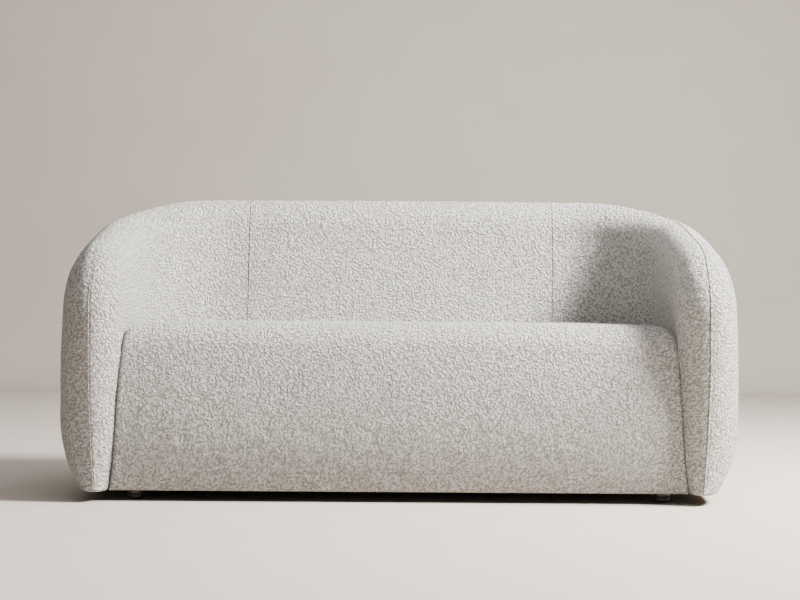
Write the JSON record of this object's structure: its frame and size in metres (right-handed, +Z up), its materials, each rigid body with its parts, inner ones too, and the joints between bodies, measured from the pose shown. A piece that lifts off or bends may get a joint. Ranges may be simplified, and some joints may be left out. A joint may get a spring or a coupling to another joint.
{
  "type": "sofa",
  "caption": "Two-seat barrel sofa: one padded wall wraps the back and sloping arms around a flush bench seat on small round feet",
  "frame": {"origin": "on the floor under the middle of the overall box", "axes": "+X runs along the sofa's width, towards the viewer's right when seen from the front; the open front faces -Y; +Z up"},
  "size_m": [1.76, 0.84, 0.8],
  "materials": {
    "plywood": "bare birch plywood",
    "timber": "bare sawn timber",
    "fibreboard": "brown upholstery board",
    "steel": "zinc plated",
    "spring_steel": "black phosphated wire",
    "webbing": "woven elastic webbing",
    "nonwoven": "white spun-bonded cloth",
    "foam": "open-cell foam",
    "boucle": "looped boucle pile, cream",
    "dust_cloth": "black spun-bonded cloth",
    "black_wood": "black stained, satin",
    "felt": "pressed felt"
  },
  "bodies": {
    "root": {"base_rib_back": "plywood", "base_rib_left": "plywood", "base_rib_right": "plywood", "mid_rib_back": "plywood", "mid_rib_left": "plywood", "mid_rib_right": "plywood", "top_rib_back": "plywood", "corner_ribs": "plywood", "back_posts": "timber", "corner_posts": "timber", "arm_front_posts": "timber", "arm_rear_posts": "timber", "rail_posts": "timber", "arm_top_rail_left": "plywood", "arm_top_rail_right": "plywood", "arm_liner_left": "fibreboard", "arm_liner_right": "fibreboard", "seat_front_rail": "plywood", "seat_rear_rail": "plywood", "seat_side_rail_left": "plywood", "seat_side_rail_right": "plywood", "seat_stretchers": "timber", "corner_blocks": "timber", "frame_bolts": "steel", "frame_nuts": "steel", "seat_springs": "spring_steel", "spring_clips": "steel", "spring_tie_wires": "spring_steel", "spring_insulator": "nonwoven", "back_webbing": "webbing", "seat_foam": "foam", "seat_front_foam": "foam", "inner_back_foam": "foam", "inner_arm_foam_left": "foam", "inner_arm_foam_right": "foam", "outer_back_foam": "foam", "outer_arm_foam_left": "foam", "outer_arm_foam_right": "foam", "outer_back_liner": "fibreboard", "outer_arm_liner_left": "fibreboard", "outer_arm_liner_right": "fibreboard", "seat_cover": "boucle", "inner_back_cover": "boucle", "inner_arm_cover_left": "boucle", "inner_arm_cover_right": "boucle", "outer_back_cover": "boucle", "outer_arm_cover_left": "boucle", "outer_arm_cover_right": "boucle", "dust_cover": "dust_cloth", "staples": "steel", "foot_front_left": "black_wood", "foot_front_right": "black_wood", "foot_rear_left": "black_wood", "foot_rear_right": "black_wood", "foot_studs": "steel", "tee_nuts": "steel", "glide_pads": "felt"}
  },
  "joints": []
}
